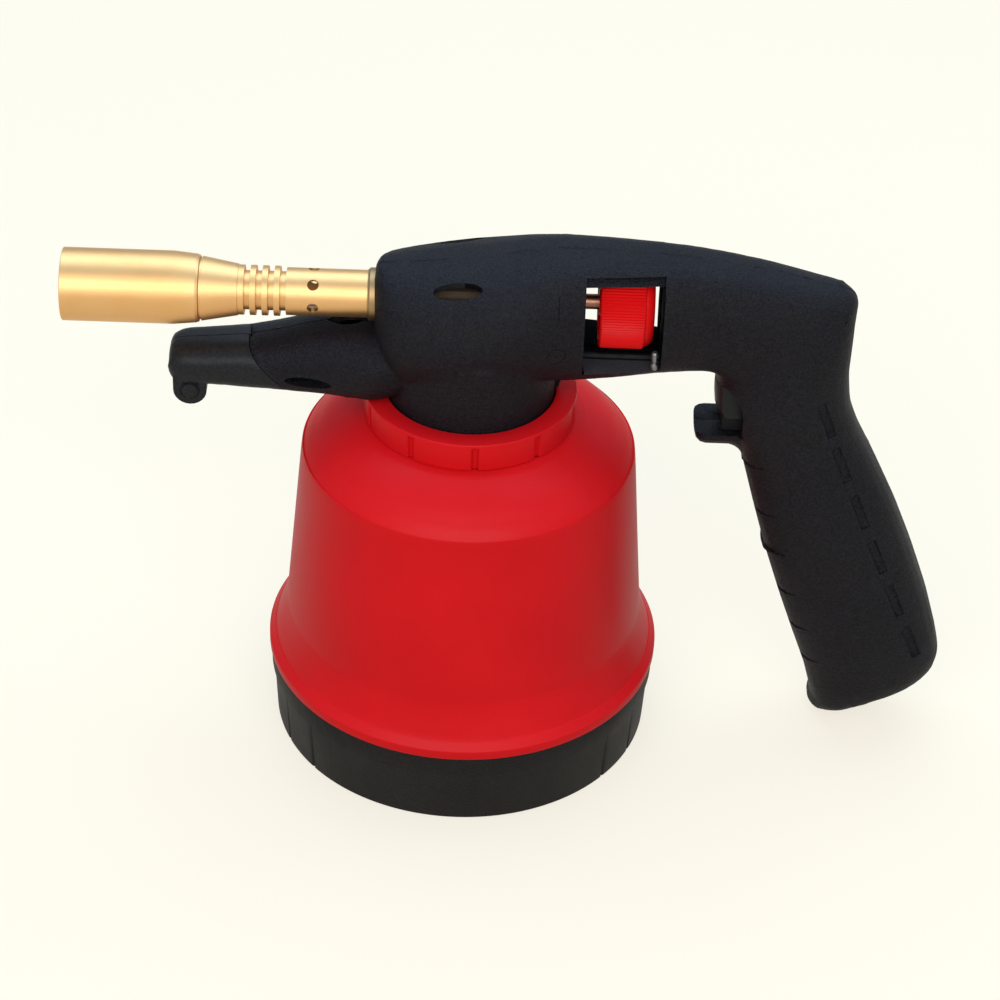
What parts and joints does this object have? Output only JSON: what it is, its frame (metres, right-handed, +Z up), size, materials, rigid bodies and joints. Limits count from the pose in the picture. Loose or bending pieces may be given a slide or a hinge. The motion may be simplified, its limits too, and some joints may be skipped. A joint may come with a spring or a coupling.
{
  "type": "gas torch",
  "caption": "Hand-held gas torch on a pierceable cartridge: screw-on shell and base cup, brass burner, ribbed gas knob in a window, piezo trigger and pistol grip.",
  "frame": {"origin": "middle of the base cup's underside, on the cartridge's axis", "axes": "+Z up along the cartridge, +X towards the pistol grip, so the burner points along -X"},
  "size_m": [0.2403, 0.108, 0.1511],
  "materials": {
    "black_plastic": "fine spark-eroded grain, satin matt",
    "cap_plastic": "smooth satin",
    "trigger_plastic": "smooth satin",
    "red_plastic": "smooth satin",
    "knob_plastic": "smooth satin",
    "brass": "fine turned",
    "steel": "plated",
    "cartridge_steel": "tinned sheet",
    "rubber": "matt",
    "ceramic": "glazed",
    "piezo_plastic": "satin",
    "wire_sleeve": "smooth sleeve"
  },
  "bodies": {
    "torch": {"housing_shell": "red_plastic", "collar_ring": "red_plastic", "casing_left": "black_plastic", "casing_right": "black_plastic", "nose_cap_left": "cap_plastic", "nose_cap_right": "cap_plastic", "nose_cap_screw": "steel", "casing_screw_1": "steel", "casing_screw_2": "steel", "casing_screw_3": "steel", "casing_screw_4": "steel", "casing_screw_5": "steel", "casing_screw_6": "steel", "casing_screw_7": "steel", "packing_nut": "brass", "valve_body": "brass", "piercing_needle": "steel", "cartridge_seal": "rubber", "jet_nozzle": "brass", "burner_flange": "brass", "burner_tube": "brass", "burner_head": "brass", "flame_holder": "brass", "electrode": "steel", "electrode_insulator": "ceramic", "ignition_wire": "wire_sleeve", "wire_terminal": "steel", "piezo_body": "piezo_plastic"},
    "cartridge": {"gas_cartridge": "cartridge_steel"},
    "base": {"base_cup": "black_plastic"},
    "feed": {"spindle_seal": "rubber"},
    "knob": {"control_knob": "knob_plastic", "valve_spindle": "brass"},
    "trigger": {"trigger_button": "trigger_plastic", "piezo_plunger": "piezo_plastic"}
  },
  "joints": [
    {"name": "cartridge_drop", "type": "slide", "parent": "torch", "child": "cartridge", "axis": [0, 0, -1], "range_m": [0, 0.006]},
    {"name": "base_turn", "type": "hinge", "parent": "cartridge", "child": "base", "pos_m": [0, 0, 0], "axis": [0, 0, -1], "range_deg": [0, 540]},
    {"name": "valve_feed", "type": "slide", "parent": "torch", "child": "feed", "axis": [1, 0, 0], "range_m": [0, 0.0014]},
    {"name": "knob_turn", "type": "hinge", "parent": "feed", "child": "knob", "pos_m": [0.0386, 0, 0.135], "axis": [1, 0, 0], "range_deg": [0, 630]},
    {"name": "trigger_press", "type": "slide", "parent": "torch", "child": "trigger", "axis": [1, 0, 0], "range_m": [0, 0.005], "stiffness_N_per_m": 1500, "springref_m": -0.002}
  ],
  "couplings": [
    {"joint": "cartridge_drop", "follows": "base_turn", "m_per_rad": 0.00063662},
    {"joint": "knob_turn", "follows": "valve_feed", "rad_per_m": 7854}
  ]
}
